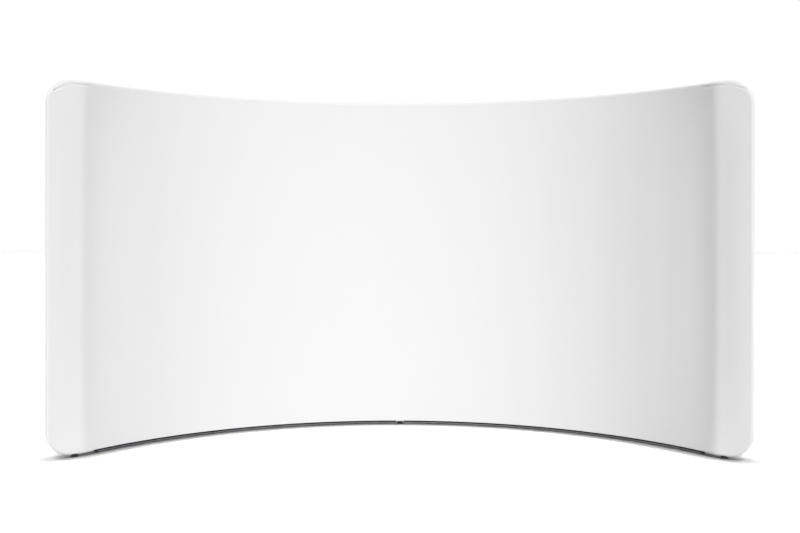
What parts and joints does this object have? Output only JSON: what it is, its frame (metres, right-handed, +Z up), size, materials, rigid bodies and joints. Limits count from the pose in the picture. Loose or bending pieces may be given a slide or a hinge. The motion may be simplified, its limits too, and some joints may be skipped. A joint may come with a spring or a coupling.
{
  "type": "pop up display backwall",
  "caption": "Free-standing curved display backwall: a blank stretch-fabric cover zipped over a tube frame, with rounded corners, reverse bends and low feet.",
  "frame": {"origin": "on the floor, in the middle of the wall's outline", "axes": "+Z up, X along the wall's width, the hollow front faces -Y"},
  "size_m": [4.2622, 1.2172, 2.3],
  "materials": {
    "tube_aluminium": "satin anodised extruded tube",
    "spring_steel": "plain rolled spring steel",
    "stretch_fabric": "matt warp-knitted polyester stretch fabric",
    "zip_tape": "black woven zip tape",
    "zip_coil": "black nylon coil",
    "stop_metal": "crimped steel",
    "slider_metal": "black enamelled zinc casting",
    "foot_plastic": "black moulded nylon, fine texture",
    "sole_rubber": "black moulded rubber",
    "screw_steel": "bright zinc-plated steel"
  },
  "bodies": {
    "frame": {"rail_top_left": "tube_aluminium", "rail_top_middle": "tube_aluminium", "rail_top_right": "tube_aluminium", "rail_bottom_left": "tube_aluminium", "rail_bottom_middle": "tube_aluminium", "rail_bottom_right": "tube_aluminium", "corner_top_left": "tube_aluminium", "corner_top_right": "tube_aluminium", "corner_bottom_left": "tube_aluminium", "corner_bottom_right": "tube_aluminium", "end_upright_left_lower": "tube_aluminium", "end_upright_left_upper": "tube_aluminium", "end_upright_right_lower": "tube_aluminium", "end_upright_right_upper": "tube_aluminium", "upright_left_lower": "tube_aluminium", "upright_left_upper": "tube_aluminium", "upright_middle_lower": "tube_aluminium", "upright_middle_upper": "tube_aluminium", "upright_right_lower": "tube_aluminium", "upright_right_upper": "tube_aluminium", "joining_sleeves": "tube_aluminium", "button_springs": "spring_steel", "cover_front": "stretch_fabric", "cover_back": "stretch_fabric", "zip_tapes": "zip_tape", "zip_teeth": "zip_coil", "zip_stops": "stop_metal", "foot_left": "foot_plastic", "foot_middle": "foot_plastic", "foot_right": "foot_plastic", "foot_soles": "sole_rubber", "foot_screws": "screw_steel", "foot_nuts": "screw_steel"},
    "button_rail_top_1": {"button_rail_top_1": "spring_steel"},
    "button_rail_top_2": {"button_rail_top_2": "spring_steel"},
    "button_rail_top_3": {"button_rail_top_3": "spring_steel"},
    "button_rail_top_4": {"button_rail_top_4": "spring_steel"},
    "button_rail_bottom_1": {"button_rail_bottom_1": "spring_steel"},
    "button_rail_bottom_2": {"button_rail_bottom_2": "spring_steel"},
    "button_rail_bottom_3": {"button_rail_bottom_3": "spring_steel"},
    "button_rail_bottom_4": {"button_rail_bottom_4": "spring_steel"},
    "button_end_left_low": {"button_end_left_low": "spring_steel"},
    "button_end_left_mid": {"button_end_left_mid": "spring_steel"},
    "button_end_left_top": {"button_end_left_top": "spring_steel"},
    "button_end_right_low": {"button_end_right_low": "spring_steel"},
    "button_end_right_mid": {"button_end_right_mid": "spring_steel"},
    "button_end_right_top": {"button_end_right_top": "spring_steel"},
    "button_left_low": {"button_left_low": "spring_steel"},
    "button_left_mid": {"button_left_mid": "spring_steel"},
    "button_left_top": {"button_left_top": "spring_steel"},
    "button_middle_low": {"button_middle_low": "spring_steel"},
    "button_middle_mid": {"button_middle_mid": "spring_steel"},
    "button_middle_top": {"button_middle_top": "spring_steel"},
    "button_right_low": {"button_right_low": "spring_steel"},
    "button_right_mid": {"button_right_mid": "spring_steel"},
    "button_right_top": {"button_right_top": "spring_steel"},
    "zip_slider_left": {"zip_slider_left": "slider_metal"},
    "zip_pull_left": {"zip_pull_left": "slider_metal"},
    "zip_slider_right": {"zip_slider_right": "slider_metal"},
    "zip_pull_right": {"zip_pull_right": "slider_metal"}
  },
  "joints": [
    {"name": "press_rail_top_1", "type": "slide", "parent": "frame", "child": "button_rail_top_1", "axis": [0, 0, 1], "range_m": [0, 0.0047], "stiffness_N_per_m": 900, "springref_m": -0.001},
    {"name": "press_rail_top_2", "type": "slide", "parent": "frame", "child": "button_rail_top_2", "axis": [0, 0, 1], "range_m": [0, 0.0047], "stiffness_N_per_m": 900, "springref_m": -0.001},
    {"name": "press_rail_top_3", "type": "slide", "parent": "frame", "child": "button_rail_top_3", "axis": [0, 0, 1], "range_m": [0, 0.0047], "stiffness_N_per_m": 900, "springref_m": -0.001},
    {"name": "press_rail_top_4", "type": "slide", "parent": "frame", "child": "button_rail_top_4", "axis": [0, 0, 1], "range_m": [0, 0.0047], "stiffness_N_per_m": 900, "springref_m": -0.001},
    {"name": "press_rail_bottom_1", "type": "slide", "parent": "frame", "child": "button_rail_bottom_1", "axis": [0, 0, -1], "range_m": [0, 0.0047], "stiffness_N_per_m": 900, "springref_m": -0.001},
    {"name": "press_rail_bottom_2", "type": "slide", "parent": "frame", "child": "button_rail_bottom_2", "axis": [0, 0, -1], "range_m": [0, 0.0047], "stiffness_N_per_m": 900, "springref_m": -0.001},
    {"name": "press_rail_bottom_3", "type": "slide", "parent": "frame", "child": "button_rail_bottom_3", "axis": [0, 0, -1], "range_m": [0, 0.0047], "stiffness_N_per_m": 900, "springref_m": -0.001},
    {"name": "press_rail_bottom_4", "type": "slide", "parent": "frame", "child": "button_rail_bottom_4", "axis": [0, 0, -1], "range_m": [0, 0.0047], "stiffness_N_per_m": 900, "springref_m": -0.001},
    {"name": "press_end_left_low", "type": "slide", "parent": "frame", "child": "button_end_left_low", "axis": [-0.8387, -0.5446, 0], "range_m": [0, 0.0047], "stiffness_N_per_m": 900, "springref_m": -0.001},
    {"name": "press_end_left_mid", "type": "slide", "parent": "frame", "child": "button_end_left_mid", "axis": [-0.8387, -0.5446, 0], "range_m": [0, 0.0047], "stiffness_N_per_m": 900, "springref_m": -0.001},
    {"name": "press_end_left_top", "type": "slide", "parent": "frame", "child": "button_end_left_top", "axis": [-0.8387, -0.5446, 0], "range_m": [0, 0.0047], "stiffness_N_per_m": 900, "springref_m": -0.001},
    {"name": "press_end_right_low", "type": "slide", "parent": "frame", "child": "button_end_right_low", "axis": [0.8387, -0.5446, 0], "range_m": [0, 0.0047], "stiffness_N_per_m": 900, "springref_m": -0.001},
    {"name": "press_end_right_mid", "type": "slide", "parent": "frame", "child": "button_end_right_mid", "axis": [0.8387, -0.5446, 0], "range_m": [0, 0.0047], "stiffness_N_per_m": 900, "springref_m": -0.001},
    {"name": "press_end_right_top", "type": "slide", "parent": "frame", "child": "button_end_right_top", "axis": [0.8387, -0.5446, 0], "range_m": [0, 0.0047], "stiffness_N_per_m": 900, "springref_m": -0.001},
    {"name": "press_left_low", "type": "slide", "parent": "frame", "child": "button_left_low", "axis": [-0.7995, -0.6007, 0], "range_m": [0, 0.0047], "stiffness_N_per_m": 900, "springref_m": -0.001},
    {"name": "press_left_mid", "type": "slide", "parent": "frame", "child": "button_left_mid", "axis": [-0.7995, -0.6007, 0], "range_m": [0, 0.0047], "stiffness_N_per_m": 900, "springref_m": -0.001},
    {"name": "press_left_top", "type": "slide", "parent": "frame", "child": "button_left_top", "axis": [-0.7995, -0.6007, 0], "range_m": [0, 0.0047], "stiffness_N_per_m": 900, "springref_m": -0.001},
    {"name": "press_middle_low", "type": "slide", "parent": "frame", "child": "button_middle_low", "axis": [-1, 0, 0], "range_m": [0, 0.0047], "stiffness_N_per_m": 900, "springref_m": -0.001},
    {"name": "press_middle_mid", "type": "slide", "parent": "frame", "child": "button_middle_mid", "axis": [-1, 0, 0], "range_m": [0, 0.0047], "stiffness_N_per_m": 900, "springref_m": -0.001},
    {"name": "press_middle_top", "type": "slide", "parent": "frame", "child": "button_middle_top", "axis": [-1, 0, 0], "range_m": [0, 0.0047], "stiffness_N_per_m": 900, "springref_m": -0.001},
    {"name": "press_right_low", "type": "slide", "parent": "frame", "child": "button_right_low", "axis": [-0.7995, 0.6007, 0], "range_m": [0, 0.0047], "stiffness_N_per_m": 900, "springref_m": -0.001},
    {"name": "press_right_mid", "type": "slide", "parent": "frame", "child": "button_right_mid", "axis": [-0.7995, 0.6007, 0], "range_m": [0, 0.0047], "stiffness_N_per_m": 900, "springref_m": -0.001},
    {"name": "press_right_top", "type": "slide", "parent": "frame", "child": "button_right_top", "axis": [-0.7995, 0.6007, 0], "range_m": [0, 0.0047], "stiffness_N_per_m": 900, "springref_m": -0.001},
    {"name": "zip_run_left", "type": "hinge", "parent": "frame", "child": "zip_slider_left", "pos_m": [0, -1.71142, 0.0066], "axis": [0, 0, -1], "range_deg": [0, 53.76]},
    {"name": "zip_tab_left", "type": "hinge", "parent": "zip_slider_left", "child": "zip_pull_left", "pos_m": [-1.88536, -0.39407, 0.0066], "axis": [0.8197, -0.5728, 0], "range_deg": [0, 15]},
    {"name": "zip_run_right", "type": "hinge", "parent": "frame", "child": "zip_slider_right", "pos_m": [0, -1.71142, 0.0066], "axis": [0, 0, 1], "range_deg": [0, 53.76]},
    {"name": "zip_tab_right", "type": "hinge", "parent": "zip_slider_right", "child": "zip_pull_right", "pos_m": [1.88536, -0.39407, 0.0066], "axis": [0.8197, 0.5728, 0], "range_deg": [0, 15]}
  ]
}
